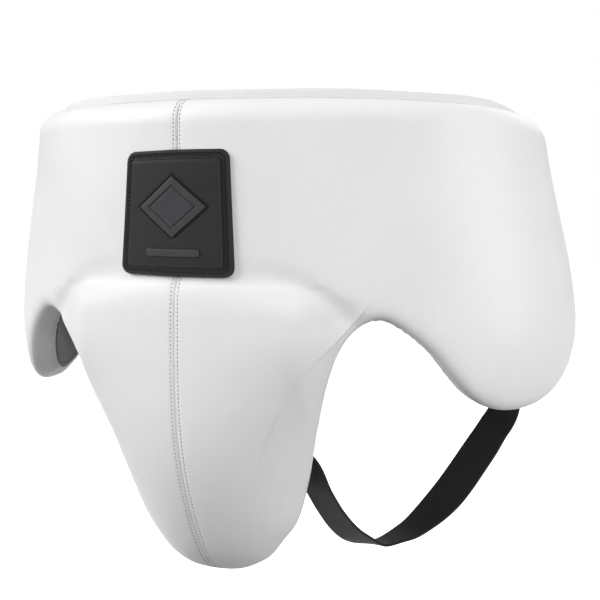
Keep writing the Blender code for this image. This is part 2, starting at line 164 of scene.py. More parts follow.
# The guard's form. The pad follows half ellipses that widen from the waist to the hips, its lobes curl in,
# and its tongue wraps round the groin and tucks under. The angle runs round from the front, in radians.
WAIST_HALF_WIDTH, WAIST_FRONT = 169.0, 124.7
HIP_HALF_WIDTH, HIP_FRONT, HIP_DROP = 191.0, 129.5, 150.0
ARC = 165.0  # millimetres of outline for each radian
LOBE_CURL, CURL_DROP, CURL_SPAN, CURL_FROM, CURL_BLEND = 11.0, 135.0, 55.0, 0.65, 0.5
CUP_BULGE, CUP_TOP, CUP_SLOPE, CUP_ANGLE, CUP_SOFT = 5.0, 112.0, 20.0, 24.0, 13.0
TIP_DROP, TIP_TUCK, TUCK_DROP = 297.0, 42.0, 180.0
CUP_WRAP, WRAP_DROP, WRAP_SPAN = 0.0070, 140.0, 120.0


def smooth(t):
    t = np.clip(t, 0, 1)
    return t * t * (3 - 2 * t)


def middle(angle, z):
    """The pad's middle surface at an angle round from the front and a height, in millimetres."""
    z = z + 0 * angle
    hip = smooth(-z / HIP_DROP)
    curl = LOBE_CURL * np.clip((-CURL_DROP - z) / CURL_SPAN, 0, 1.2) ** 2
    curl = curl * smooth((angle - CURL_FROM) / CURL_BLEND)
    half_width = WAIST_HALF_WIDTH + (HIP_HALF_WIDTH - WAIST_HALF_WIDTH) * hip - curl
    front = WAIST_FRONT + (HIP_FRONT - WAIST_FRONT) * hip - 0.5 * curl
    x = half_width * np.sin(angle)
    y = (HIP_FRONT - WAIST_FRONT) * hip - front * np.cos(angle)
    in_cup = 1 - smooth((np.degrees(np.abs(angle)) - CUP_ANGLE) / CUP_SOFT)
    y = y - CUP_BULGE * in_cup * smooth((-CUP_TOP - z) / CUP_SLOPE)
    y = y + CUP_WRAP * in_cup * smooth((-WRAP_DROP - z) / WRAP_SPAN) * x * x
    y = y + TIP_TUCK * in_cup * np.clip((-TUCK_DROP - z) / (TIP_DROP - TUCK_DROP), 0, 1.1) ** 2
    return np.stack([x, y, z], -1)


def unit(ways):
    """Directions at length 1."""
    return ways / np.linalg.norm(ways, axis=-1, keepdims=True)


def run_along(line):
    """The distance run along a line at each of its points."""
    return np.r_[0, np.cumsum(np.linalg.norm(np.diff(line, axis=0), axis=1))]


def outward(flat):
    """The pad's outward directions at unrolled points (arc, height)."""
    angle, z = flat[..., 0] / ARC, flat[..., 1]
    along = middle(angle + 1e-3, z) - middle(angle - 1e-3, z)
    up = middle(angle, z + 0.1) - middle(angle, z - 0.1)
    return unit(np.cross(along, up))


def raised(flat, level):
    """Points a level out from the middle surface."""
    return middle(flat[..., 0] / ARC, flat[..., 1]) + np.asarray(level)[..., None] * outward(flat)


def curve_through(points, count):
    """Evenly spaced points on a Catmull-Rom curve through the given ones."""
    points = np.array(points, float)
    points = np.vstack([2 * points[0] - points[1], points, 2 * points[-1] - points[-2]])
    t = np.linspace(0, 1, 24, endpoint=False)[:, None]
    spans = []
    for a, b, c, d in zip(points, points[1:], points[2:], points[3:]):
        bend = (2 * a - 5 * b + 4 * c - d) * t**2 + (3 * b - a - 3 * c + d) * t**3
        spans.append(b + 0.5 * ((c - a) * t + bend))
    return spaced(np.vstack([*spans, points[-2:-1]]), count)


def spaced(line, count):
    """The line again, with evenly spaced points."""
    run = run_along(line)
    even = np.linspace(0, run[-1], count)
    return np.stack([np.interp(even, run, line[:, k]) for k in range(line.shape[1])], 1)


def piece(name, points, faces, looks, body, parts=None, uv=None, smooth_angle=45):
    """One object from points in millimetres, which rides on a CAD body."""
    made = bpy.data.meshes.new(name)
    made.from_pydata((np.asarray(points) * MM).tolist(), [], [tuple(face) for face in faces])
    if uv is not None:
        loops = np.array([corner for face in faces for corner in face])
        laid = (np.asarray(uv)[loops] * MM).astype(np.float32).ravel()
        made.uv_layers.new(name="lay").data.foreach_set("uv", laid)
    for look in looks if isinstance(looks, list) else [looks]:
        made.materials.append(look)
    if parts is not None:
        made.polygons.foreach_set("material_index", np.asarray(parts, np.int32))
    shaped = bmesh.new()
    shaped.from_mesh(made)
    bmesh.ops.remove_doubles(shaped, verts=shaped.verts, dist=1e-6)
    bmesh.ops.recalc_face_normals(shaped, faces=shaped.faces)
    shaped.to_mesh(made)
    shaped.free()
    made.shade_smooth()
    made.set_sharp_from_angle(angle=math.radians(smooth_angle))
    placed = bpy.data.objects.new(name, made)
    scene.collection.objects.link(placed)
    if body:
        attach(placed, body)
    return placed


def grid_faces(rows, columns, start=0, closed=False):
    """Faces over a grid of points that was laid out row by row."""
    index = start + np.arange(rows * columns).reshape(rows, columns)
    if closed:
        index = np.column_stack([index, index[:, 0]])
    quads = np.stack([index[:-1, :-1], index[:-1, 1:], index[1:, 1:], index[1:, :-1]], -1)
    return quads.reshape(-1, 4).tolist()


# The padding inside: closed-cell foam over belt and wings, and foam in front of and behind a moulded cup with
# a rubber edge. A woven tape backs the centre seam. All of it is sewn in and out of sight.


def hidden(node, name, colour, dark, scale, roughness, depth):
    """A cell-patterned finish on a CAD node that the leather covers."""
    made, tree, shader = new_finish(name, {"Roughness": roughness})
    place = add(tree, "ShaderNodeTexCoord")
    cells = add(tree, "ShaderNodeTexVoronoi", {"Scale": scale}, {"Vector": place.outputs["Object"]})
    mix = add(
        tree, "ShaderNodeMix", {"A": linear(dark), "B": linear(colour)}, {"Factor": cells.outputs["Distance"]},
        data_type="RGBA",
    )
    dents = add(tree, "ShaderNodeBump", {"Distance": depth}, {"Height": cells.outputs["Distance"]})
    fed(tree, shader, {"Base Color": mix.outputs[2], "Normal": dents.outputs[0]})
    nodes[node].data.materials.clear()
    nodes[node].data.materials.append(made)


# EVA foam has cells of about 0.8 mm; the polyethylene shell has a 2 mm moulded stipple.
for node in ("belt_foam_left", "belt_foam_right", "cup_foam_front", "cup_foam_back"):
    hidden(node, "closed-cell EVA foam", "#D8DAD0", "#B4B6AC", 1200, 0.9, 0.0002)
hidden("cup_shell", "moulded polyethylene", "#E4E4DE", "#D6D6D0", 500, 0.35, 0.00005)
hidden("cup_gasket", "extruded rubber", "#2A2A2A", "#202020", 900, 0.7, 0.0001)
hidden("centre_seam_tape", "woven nylon tape", "#DCDCD8", "#C4C4C0", 2500, 0.8, 0.0001)

# The cover: two halves of white coated leather, joined down the middle. Each runs over the front of the pad,
# rolls round its edge and ends at the lining. It is pulled tight, so it is smooth but for small folds in the
# leg arches. The outline is given as (degrees round, height).
TIP_EDGE = [(0, -TIP_DROP), (5.5, -295), (10.5, -287), (14, -274), (16.8, -261), (19.8, -235), (23, -205)]
CUP_EDGE = TIP_EDGE + [(27.1, -172)]
ARCH_EDGE = [(30.6, -148.8), (33.9, -137)]
LOBE_EDGE = [(38, -132.5), (42, -137), (48, -150.5), (54, -168.5), (59.5, -180), (67, -187), (75, -188.3)]
REAR_EDGE = [(84, -184.5), (92, -176.5), (99, -164), (104, -144), (107.5, -118), (109, -78), (109, -42)]
TOP_EDGE = [(107, -22), (101, -12), (90, -8), (78, -5.2), (60, -2.7), (30, -0.5), (0, 0)]
APRON = CUP_EDGE + ARCH_EDGE + LOBE_EDGE + REAR_EDGE + TOP_EDGE
REAR_TURN, TOP_TURN = (84, -184.5), (107, -22)
PAD_HALF, EDGE_ROUND = 11.0, 14.0
SIDES = {"left": 1, "right": -1}


def on_flat(points):
    """Points given as (degrees round, height) on the unrolled pad."""
    return np.array([(math.radians(angle) * ARC, z) for angle, z in points])


def graded(columns, fine, fine_count):
    """Shares from 0 to 1 that start with fine steps, for the close work beside the centre seam."""
    rest, wide_count = 1 - fine * fine_count, columns - 1 - fine_count
    steps = np.r_[np.full(fine_count, fine), np.linspace(fine, 2 * rest / wide_count - fine, wide_count)]
    return np.r_[0, np.cumsum(steps)] / steps.sum()


def unrolled(outline, shares, rows):
    """An outline's bottom, rear and top stretches as one line of flat points, with their inward directions."""
    flat = on_flat(outline)
    fine = curve_through(flat, 1600)
    turns = [np.argmin(np.linalg.norm(fine - on_flat([turn])[0], axis=1)) for turn in (REAR_TURN, TOP_TURN)]
    picks = np.concatenate([
        shares * turns[0],
        np.linspace(turns[0], turns[1], rows)[1:],
        turns[1] + (1 - shares[::-1])[1:] * (1599 - turns[1]),
    ])
    line = np.stack([np.interp(picks, range(1600), fine[:, k]) for k in (0, 1)], 1)
    ahead = np.stack([np.interp(np.minimum(picks + 4, 1599), range(1600), fine[:, k]) for k in (0, 1)], 1)
    behind = np.stack([np.interp(np.maximum(picks - 4, 0), range(1600), fine[:, k]) for k in (0, 1)], 1)
    along = ahead - behind
    along[0], along[-1] = (1, 0), (-1, 0)
    inward = np.stack([-along[:, 1], along[:, 0]], 1)
    return line, unit(inward)


def filled(line, shares, rows):
    """A grid of flat points between the line's three stretches and the centre line."""
    columns = len(shares)
    bottom, top = line[:columns], line[columns + rows - 2 :][::-1]
    rear = line[columns - 1 : columns + rows - 1]
    u, v = shares[:, None, None], np.linspace(0, 1, rows)[None, :, None]
    centre = bottom[0] + (top[0] - bottom[0]) * v[0]
    flat = (1 - v) * bottom[:, None] + v * top[:, None] + (1 - u) * centre[None] + u * rear[None]
    low = (1 - u) * (1 - v) * bottom[0] + u * (1 - v) * bottom[-1]
    return flat - (low + (1 - u) * v * top[0] + u * v * top[-1])


# The padded cup stands out of the belt with a soft rim and rounded upper corners.
RIM_HEIGHT, RIM_ROUND, RIM_SOFT, CORNER_DRAWN = 4.2, 30.0, 21.0, 2.4


def inside_cup(flat):
    """How far a flat point lies inside the cup's rim, in millimetres, and less than 0 outside it."""
    across, z = np.abs(flat[..., 0]), flat[..., 1]
    below = -106.5 - 13.5 * (across / 85) ** 2.2 - z
    within = 90 + np.clip(-120 - z, 0, 200) * 0.25 - across
    corner = RIM_ROUND - np.hypot(np.maximum(RIM_ROUND - below, 0), np.maximum(RIM_ROUND - within, 0))
    return np.where((below < RIM_ROUND) & (within < RIM_ROUND), corner, np.minimum(below, within))


TOPSTITCH_OFF = 2.1
SEAM_DEEP, ROW_DEEP, DIP_DEEP, FOOT_DEEP, SWAY = 1.3, 0.45, 0.5, 1.1, 0.22


def relief(flat):
    """How far the leather stands out from the plain pad: seam, stitch rows, cup's foot and a slight sway."""
    across, z = np.abs(flat[..., 0]), flat[..., 1]
    depth = -SEAM_DEEP * np.exp(-((across / 0.75) ** 2))
    depth = depth - ROW_DEEP * np.exp(-(((across - TOPSTITCH_OFF) / 0.7) ** 2))
    depth = depth - DIP_DEEP * np.exp(-((across / 7) ** 2))
    inside = inside_cup(flat)
    depth = depth - FOOT_DEEP * np.exp(-(((inside + 5) / 6) ** 2)) * smooth((across - 20) / 40)
    sway = np.sin(flat[..., 0] / 31 + 0.7) * np.sin(z / 47 + 1.1) + 0.6 * np.sin(flat[..., 0] / 17 + z / 29)
    return depth + SWAY * sway * smooth(across / 25)


def bulged(points, flat, share):
    """The pad's points with the cup's plain bulge sharpened into its rim."""
    across, z = np.abs(flat[..., 0]), flat[..., 1]
    plain = CUP_BULGE * (1 - smooth((np.degrees(across / ARC) - CUP_ANGLE) / CUP_SOFT))
    plain = plain * smooth((-CUP_TOP - z) / CUP_SLOPE)
    # The rim is highest above the tongue and runs out into the pad at the cup's sides.
    rim = RIM_HEIGHT * smooth((inside_cup(flat) + 2) / RIM_SOFT) * (1 - 0.25 * smooth((-150 - z) / 60))
    rim = rim * (1 - 0.9 * smooth((across - 64) / 18) * smooth((-122 - z) / 14))
    # The cup's upper corners are drawn back towards the leg arches.
    drawn = smooth((across - 66) / 20) * (1 - smooth((across - 92) / 16)) * smooth((-118 - z) / 16)
    moved = points.copy()
    moved[..., 1] -= (rim - plain - CORNER_DRAWN * drawn * (1 - smooth((-178 - z) / 30))) * share
    return moved


FACE_COLUMNS, FACE_ROWS, ROLL_STEPS = 210, 96, 18
SQUARER, TONGUE_ROUNDER, LOBE_THINNED, TUCKED, TUCK_RISE = 1.3, 10, 1.6, 4, 0.6
PUCKER, FOLD = 0.3, 0.6
face_shares = graded(FACE_COLUMNS, 0.0011, 22)
edge_line, edge_inward = unrolled(APRON, face_shares, FACE_ROWS)
edge_line[:, 0] = np.maximum(edge_line[:, 0], 0.12)
edge_run = run_along(edge_line)
edge_degrees = np.degrees(edge_line[:, 0] / ARC)
in_arch = smooth((edge_degrees - 35) / 3) * (1 - smooth((edge_degrees - 41) / 7)) * (edge_line[:, 1] < -100)


def squareness(flat):
    """How square the rolled edge is: round at waist and tongue, and tighter at the arches and lobes."""
    degrees = np.degrees(np.abs(flat[..., 0]) / ARC)
    return 2 + SQUARER * smooth((degrees - 29) / 5) * smooth((-95 - flat[..., 1]) / 25)


# The tongue's face curves down to its edge from further in, as the cup under it does.
on_tongue = (1 - smooth((edge_degrees - 22) / 8)) * smooth((-105 - edge_line[:, 1]) / 40)
front_round = EDGE_ROUND + TONGUE_ROUNDER * on_tongue
face_flat = filled(edge_line + edge_inward * front_round[:, None], face_shares, FACE_ROWS)
face_points = bulged(raised(face_flat, PAD_HALF + relief(face_flat)), face_flat, 1.0)
rolls = []
power = 2 / squareness(edge_line)
back_half = PAD_HALF - LOBE_THINNED * (squareness(edge_line) - 2) / SQUARER
for turn in np.linspace(0, math.pi, ROLL_STEPS + 1):
    sine = abs(math.sin(turn)) ** power
    cosine = math.copysign(1, math.cos(turn)) * abs(math.cos(turn)) ** power
    half, reach = (PAD_HALF, front_round) if turn < math.pi / 2 else (back_half, EDGE_ROUND)
    flat = edge_line + edge_inward * (reach * (1 - sine))[:, None]
    near_face = smooth((math.cos(turn) + 1) / 2)
    under = smooth((math.degrees(turn) - 75) / 60)
    pucker = PUCKER * under * np.sin(edge_run / 1.5 + 1.3 * np.sin(edge_run / 21))
    on_side = smooth((math.degrees(turn) - 65) / 30) * (1 - smooth((math.degrees(turn) - 150) / 25))
    fold = FOLD * on_side * in_arch * np.sin(edge_run / 0.95 + 0.6 * np.sin(edge_run / 9))
    slack = pucker + fold
    flat_out = edge_inward * (slack * -math.sin(turn))[:, None]
    points = raised(flat + flat_out, (half + relief(flat) * near_face + slack * abs(math.cos(turn))) * cosine)
    rolls.append(bulged(points, flat, near_face))
# The cut edge goes on under the lining.
rolls.append(raised(edge_line + edge_inward * (EDGE_ROUND + TUCKED), -back_half + TUCK_RISE))
roll_points = np.array(rolls)

# Polyurethane-coated leather: a satin, slightly soft shine over a fine pebble grain.
white_leather, tree, shader = new_finish(
    "coated white leather", {"Roughness": 0.46, "IOR": 1.48, "Specular IOR Level": 0.35, "Sheen Weight": 0.05}
)
place = add(tree, "ShaderNodeTexCoord")
# Pebbles are about 0.9 mm across; they are drawn 1.3 mm across, so that they show.
lie = {"Vector": place.outputs["Object"]}
pebbles = add(tree, "ShaderNodeTexVoronoi", {"Scale": 1 / 0.0013, "Randomness": 0.9}, lie, feature="SMOOTH_F1")
tone = add(tree, "ShaderNodeTexNoise", {"Scale": 14.0, "Detail": 3.0, "Roughness": 0.5}, lie)
clean = add(
    tree, "ShaderNodeMix", {"A": linear("#E3E3E5"), "B": linear("#EDEDED")}, {"Factor": tone.outputs["Fac"]},
    data_type="RGBA",
)
# The pebbles' crevices are drawn a little darker: painted shade in the grain.
crevice_shade = add(
    tree, "ShaderNodeMapRange", {"From Min": 0.0, "From Max": 0.9, "To Min": 0.0, "To Max": 0.06},
    {"Value": pebbles.outputs["Distance"]},
)
coloured = add(
    tree, "ShaderNodeMix", {"B": linear("#B9B9BC")}, {"Factor": crevice_shade.outputs[0], "A": clean.outputs[2]},
    data_type="RGBA",
)
rub = add(
    tree, "ShaderNodeMapRange", {"From Min": 0.35, "From Max": 0.7, "To Min": 0.40, "To Max": 0.54},
    {"Value": tone.outputs["Fac"]},
)
grain = add(
    tree, "ShaderNodeBump", {"Strength": 0.35, "Distance": 0.00012}, {"Height": pebbles.outputs["Distance"]},
    invert=True,
)
wrinkle = add(tree, "ShaderNodeTexNoise", {"Scale": 160.0, "Detail": 4.0}, lie)
soft = add(
    tree, "ShaderNodeBump", {"Strength": 0.25, "Distance": 0.0003},
    {"Height": wrinkle.outputs["Fac"], "Normal": grain.outputs[0]},
)
# Faint upright draw lines, 15 to 30 mm apart, where the hide was pulled down over the pad.
upright = add(tree, "ShaderNodeMapping", {"Scale": (60.0, 60.0, 11.0)}, lie)
drawn_lines = add(
    tree, "ShaderNodeTexNoise", {"Scale": 1.0, "Detail": 3.0, "Roughness": 0.55}, {"Vector": upright.outputs[0]}
)
pulled = add(
    tree, "ShaderNodeBump", {"Strength": 0.5, "Distance": 0.0012},
    {"Height": drawn_lines.outputs["Fac"], "Normal": soft.outputs[0]},
)
fed(tree, shader, {"Base Color": coloured.outputs[2], "Roughness": rub.outputs[0], "Normal": pulled.outputs[0]})

cover_points = np.vstack([face_points.reshape(-1, 3), roll_points.reshape(-1, 3)])
cover_faces = grid_faces(FACE_COLUMNS, FACE_ROWS)
cover_faces += grid_faces(len(rolls), len(edge_line), start=FACE_COLUMNS * FACE_ROWS)
for side, sign in SIDES.items():
    cover = piece(f"leather_cover_{side}", cover_points * (sign, 1, 1), cover_faces, white_leather, "pad")
    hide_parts(f"leather_panel_{side}")

# The topstitching: a row of thread on each side of the centre seam, which holds the seam allowances flat; the
# thread's grey is painted shade of the thread and its stitch holes.
# Both rows run over the roll at the waist and under the tongue's tip, as the seam does.


def stitches(name, line, out, pitch, length, radius, look, body, sink=0.3):
    """A row of thread stitches along a line, as short rounded bars that dip into the leather at both ends."""
    run = run_along(line)
    count = int(run[-1] / pitch)
    t = np.linspace(0, 1, 5)
    at = (np.arange(count)[:, None] + 0.5) * run[-1] / count + (t - 0.5) * length
    centre = np.stack([np.interp(at, run, line[:, k]) for k in range(3)], -1)
    lift = unit(np.stack([np.interp(at, run, out[:, k]) for k in range(3)], -1))
    arch = np.sin(np.pi * np.clip(t, 0, 1))
    centre = centre + lift * (radius * (2 * arch - 1 - sink))[None, :, None]
    side = np.cross(unit(np.gradient(centre, axis=1)), lift)
    turn = (np.arange(6) * math.pi / 3)[None, None, :, None]
    girth = (radius * (0.55 + 0.45 * arch))[None, :, None, None]
    ring = np.cos(turn) * side[:, :, None] + np.sin(turn) * lift[:, :, None]
    points = (centre[:, :, None] + girth * ring).reshape(-1, 3)
    one = np.array(grid_faces(5, 6, closed=True))
    corners = 5 * 6
    faces = (one[None] + corners * np.arange(count)[:, None, None]).reshape(-1, 4).tolist()
    for i in range(count):
        first, last = corners * i, corners * (i + 1) - 1
        faces += [[first + k for k in range(6)], [last - k for k in range(6)]]
    return piece(name, points, faces, look, body, smooth_angle=60)


def spun_thread(name, colour, dark, sheen=0.2):
    """Bonded polyester thread: a matt, twisted three-ply yarn, with one turn in about 1 mm."""
    made, tree, shader = new_finish(name, {"Roughness": 0.6, "Sheen Weight": sheen})
    place = add(tree, "ShaderNodeTexCoord")
    plies = add(
        tree, "ShaderNodeTexWave", {"Scale": 320.0, "Distortion": 2.0}, {"Vector": place.outputs["Object"]},
        bands_direction="DIAGONAL",
    )
    mix = add(
        tree, "ShaderNodeMix", {"A": linear(dark), "B": linear(colour)}, {"Factor": plies.outputs["Fac"]},
        data_type="RGBA",
    )
    twist = add(tree, "ShaderNodeBump", {"Strength": 0.5, "Distance": 0.0001}, {"Height": plies.outputs["Fac"]})
    fed(tree, shader, {"Base Color": mix.outputs[2], "Normal": twist.outputs[0]})
    return made


# The thread's grey colour is painted shade: it stands in for the shade on the threads and in their stitch
# holes.
shade_greyed_thread = spun_thread("grey bonded thread", "#9A9A9E", "#7C7C80")
TOPSTITCH_PITCH, TOPSTITCH_LENGTH, TOPSTITCH_THREAD = 2.5, 1.9, 0.3
over_tip, over_top = np.linspace(1.0, 0, 30)[:-1], np.linspace(0, 1.75, 50)[1:]
seam_turn = np.r_[over_tip, np.zeros(700), over_top]
seam_z = np.r_[
    -TIP_DROP + front_round[0] * (1 - np.sin(over_tip)),
    np.linspace(-TIP_DROP + front_round[0], -EDGE_ROUND, 700),
    -EDGE_ROUND * (1 - np.sin(over_top)),
]
for side, sign in SIDES.items():
    row = np.stack([0 * seam_z + TOPSTITCH_OFF, seam_z], 1)
    near_face = smooth((np.cos(seam_turn) + 1) / 2)
    line = bulged(raised(row, (PAD_HALF + relief(row) * near_face) * np.cos(seam_turn)), row, near_face)
    end_way = np.stack([0 * seam_z, 0 * seam_z, np.where(seam_z < -150, -1.0, 1.0)], 1)
    out = outward(row) * np.cos(seam_turn)[:, None] + end_way * np.sin(seam_turn)[:, None]
    stitches(
        f"centre_topstitch_{side}", line * (sign, 1, 1), out * (sign, 1, 1), TOPSTITCH_PITCH, TOPSTITCH_LENGTH,
        TOPSTITCH_THREAD, shade_greyed_thread, "pad",
    )

# The lining: brushed tricot behind the pad, cut as two halves, laid over the leather's turned edge and
# lockstitched to it. Its grey is partly the cloth's own colour and partly painted shade of the hollow behind
# the pad.
# A second row of stitches holds the pocket that the cup sits in.
LINING_LEVEL, LINING_INSET, HEM_NEARER, HEM_WIDE = -12.4, 12.0, 8.0, 6
LINING_COLUMNS, LINING_ROWS = 90, 60
lining_shares = graded(LINING_COLUMNS, 0.006, 6)
hem_line, hem_inward = unrolled(APRON, lining_shares, LINING_ROWS)
hem_line[:, 0] = np.maximum(hem_line[:, 0], 0.02)
hem_run = run_along(hem_line)
hem_square = squareness(hem_line)
hem_inset = LINING_INSET - HEM_NEARER * (hem_square - 2) / SQUARER


def thinned(square, inset):
    """How much the lining's back is drawn in at the arches and lobes, where the pad is thinner."""
    return LOBE_THINNED * (square - 2) / SQUARER * (1 - smooth((inset - 10) / 12))


def over_roll(inset):
    """The lining's level at a distance in from the outline, where it lies on the leather's rolled edge."""
    down = np.clip(1 - inset / EDGE_ROUND, 0, 1) ** hem_square
    half = PAD_HALF - thinned(hem_square, inset)
    return PAD_HALF + LINING_LEVEL - half * (1 - down) ** (1 / hem_square)


WAVE, FINE_WAVE, POCKET_DENT, POCKET_RISE, HEM_SUNK, GATHER = 0.5, 0.25, 0.6, 0.8, 0.7, 0.14


def lining_relief(flat, from_hem):
    """The lining sinks at its hem and centre seam and lies in slack, shallow waves between them."""
    across, z = flat[..., 0], flat[..., 1]
    wave = WAVE * np.sin(across / 19 + z / 37) * np.sin(z / 23 + 0.4) + FINE_WAVE * np.sin(across / 9 - z / 15)
    inside = inside_cup(flat)
    pocket = -POCKET_DENT * np.exp(-(((inside - 4) / 2.2) ** 2)) + POCKET_RISE * smooth(inside / 14)
    hem = -HEM_SUNK * np.exp(-(((from_hem - 2.5) / 1.6) ** 2))
    return wave * smooth(from_hem / 14) * smooth(across / 10) + pocket * smooth(from_hem / 6) + hem


lining_flat = filled(hem_line + hem_inward * (hem_inset + HEM_WIDE)[:, None], lining_shares, LINING_ROWS)
lining_rows = []
# The hem from its turned edge inwards: (distance in, how far the edge turns up).
for inset, level in ((0.0, 1.3), (0.0, 0.3), (0.5, 0.0), (1.5, 0.0), (2.5, 0.0), (3.5, 0.0), (4.7, 0.0)):
    flat = hem_line + hem_inward * (hem_inset + inset)[:, None]
    gather = GATHER * np.sin(hem_run / 0.55) * math.exp(-(((inset - 2.5) / 2.5) ** 2))
    lie = over_roll(hem_inset + inset) + level
    lining_rows.append(raised(flat, lie - lining_relief(flat, inset + 0 * hem_run) + gather))
depth_in = HEM_WIDE + 3.5 * np.minimum(
    LINING_COLUMNS - 1 - np.arange(LINING_COLUMNS)[:, None],
    np.minimum(np.arange(LINING_ROWS), LINING_ROWS - 1 - np.arange(LINING_ROWS))[None, :],
)
lining_square = squareness(lining_flat)
drawn_in = thinned(lining_square, LINING_INSET - HEM_NEARER * (lining_square - 2) / SQUARER + depth_in)
lining_face = raised(lining_flat, LINING_LEVEL + drawn_in - lining_relief(lining_flat, depth_in))
# The hem's last row is the face's own border, so that the two are one cloth.
lining_rows.append(np.vstack([lining_face[:, 0], lining_face[-1, 1:], lining_face[-2::-1, -1]]))
lining_points = np.vstack([lining_face.reshape(-1, 3), np.array(lining_rows).reshape(-1, 3)])
lining_faces = grid_faces(LINING_COLUMNS, LINING_ROWS)
lining_faces += grid_faces(len(lining_rows), len(hem_line), start=LINING_COLUMNS * LINING_ROWS)

# Knitted nylon, brushed on its face: dull, with a faint nap and fine columns of loops.
tricot_grey_and_shade, tree, shader = new_finish(
    "brushed tricot, grey with painted shade",
    {"Roughness": 0.85, "Sheen Weight": 0.3, "Sheen Roughness": 0.5, "Specular IOR Level": 0.25},
)
place = add(tree, "ShaderNodeTexCoord")
lie = {"Vector": place.outputs["Object"]}
# Loop columns are 0.7 mm apart in cloth like this; they are drawn 1.4 mm apart, so that they show.
loops = add(
    tree, "ShaderNodeTexWave", {"Scale": 1 / 0.0014 / 6.28 * 2, "Distortion": 1.2, "Detail": 2.0}, lie,
    bands_direction="DIAGONAL",
)
nap = add(tree, "ShaderNodeTexNoise", {"Scale": 900.0, "Detail": 3.0}, lie)
patchy = add(tree, "ShaderNodeTexNoise", {"Scale": 22.0, "Detail": 2.0}, lie)
# These greys are partly the cloth's own colour and partly painted shade of the hollow behind the pad.
weave = add(
    tree, "ShaderNodeMix", {"A": linear("#707073"), "B": linear("#88888B")}, {"Factor": loops.outputs["Fac"]},
    data_type="RGBA",
)
napped = add(
    tree, "ShaderNodeMix", {"A": linear("#78787B")}, {"Factor": patchy.outputs["Fac"], "B": weave.outputs[2]},
    data_type="RGBA",
)
rough = add(tree, "ShaderNodeMath", {1: 0.6}, {0: nap.outputs["Fac"]}, operation="MULTIPLY")
both = add(tree, "ShaderNodeMath", links={0: rough.outputs[0], 1: loops.outputs["Fac"]}, operation="ADD")
knit = add(tree, "ShaderNodeBump", {"Strength": 0.6, "Distance": 0.00025}, {"Height": both.outputs[0]})
fed(tree, shader, {"Base Color": napped.outputs[2], "Normal": knit.outputs[0]})

dark_thread = spun_thread("dark grey bonded thread", "#4A4A4D", "#37373A")
HEM_OFF, HEM_PITCH, HEM_LENGTH, HEM_THREAD = 2.5, 3.4, 2.5, 0.32
# The pocket's row, from beside the tongue up round the cup's rim: (distance round, height).
POCKET_ROW = [(49, -186), (53, -176), (60, -160), (66, -145), (67, -136), (62, -130), (50, -127)]
POCKET_ROW += [(26, -125), (2, -124)]
pocket = spaced(np.array(POCKET_ROW, float), 400)
hem_flat = hem_line + hem_inward * (hem_inset + HEM_OFF)[:, None]
hem_row = raised(hem_flat, over_roll(hem_inset + HEM_OFF) - lining_relief(hem_flat, HEM_OFF + 0 * hem_run))
pocket_row = raised(pocket, LINING_LEVEL - lining_relief(pocket, 30 + 0 * pocket[:, 0]))
for side, sign in SIDES.items():
    lining = piece(f"lining_cloth_{side}", lining_points * (sign, 1, 1), lining_faces, tricot_grey_and_shade, "pad")
    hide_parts(f"lining_{side}")
    hem, cup_row = [
        stitches(
            f"{row_name}_{side}", line * (sign, 1, 1), -outward(flat) * (sign, 1, 1), HEM_PITCH, HEM_LENGTH,
            HEM_THREAD, dark_thread, "pad",
        )
        for row_name, line, flat in (
            ("lining_hem_stitch", hem_row, hem_flat), ("cup_pocket_stitch", pocket_row, pocket)
        )
    ]

# The top binding: a folded white polyester tape that stands along the waist edge behind the leather's roll.
# It is stitched through at its foot, and its two ends are cut square behind the wings.
BINDING_LEVEL, BINDING_TOP, BINDING_END = -7.6, 6.0, 99.0
RIPPLE, FINE_RIPPLE, TOP_WAVE = 0.25, 0.16, 0.22
binding_half = [(angle, z) for angle, z in TOP_EDGE[::-1] if angle < BINDING_END] + [(BINDING_END, -10.8)]
binding_flat = curve_through(on_flat(binding_half), 260)


def both_halves(half):
    """The binding's line over both halves of the guard, from one half's."""
    return np.vstack([(half * (-1, 1, 1))[:0:-1], half])


binding_run = np.linspace(0, 1, 260) * np.linalg.norm(np.diff(binding_flat, axis=0), axis=1).sum()
# The section of the folded tape: (distance out, height).
section = [(1.1, -1.8), (1.15, 0.4), (1.0, 1.6), (1.15, 3.0), (1.15, 4.6), (0.8, 5.6), (0.0, 6.0)]
section += [(-0.8, 5.6), (-1.15, 4.6), (-1.15, 3.0), (-1.0, 1.6), (-1.15, 0.4), (-1.1, -1.8)]
rows = []
for out, rise in section:
    ripple = RIPPLE * np.sin(binding_run / 23) + FINE_RIPPLE * np.sin(binding_run / 7.3 + 1)
    tall = max(rise, 0) / BINDING_TOP
    half = raised(binding_flat, BINDING_LEVEL + out + ripple * tall)
    half[:, 2] = binding_flat[:, 1] + rise + TOP_WAVE * tall * np.sin(binding_run / 17 + 2)
    rows.append(both_halves(half))
binding_points = np.array(rows).reshape(-1, 3)
binding_columns = 2 * len(binding_flat) - 1
binding_faces = grid_faces(len(rows), binding_columns)
last = (len(rows) - 1) * binding_columns
binding_faces += [[a, a + 1, last + a + 1, last + a] for a in range(binding_columns - 1)]
one_end = [r * binding_columns for r in range(len(rows))]
binding_faces += [one_end, [corner + binding_columns - 1 for corner in one_end][::-1]]
long_run = np.r_[-binding_run[:0:-1], binding_run]
binding_uv = np.array([(s, 2.0 * k) for k in range(len(rows)) for s in long_run])

# Plain-woven grosgrain tape: bright and matt, with fine ribs across it.
white_tape, tree, shader = new_finish(
    "white polyester binding tape", {"Roughness": 0.75, "Sheen Weight": 0.15, "Specular IOR Level": 0.3}
)
lay = add(tree, "ShaderNodeUVMap", uv_map="lay")
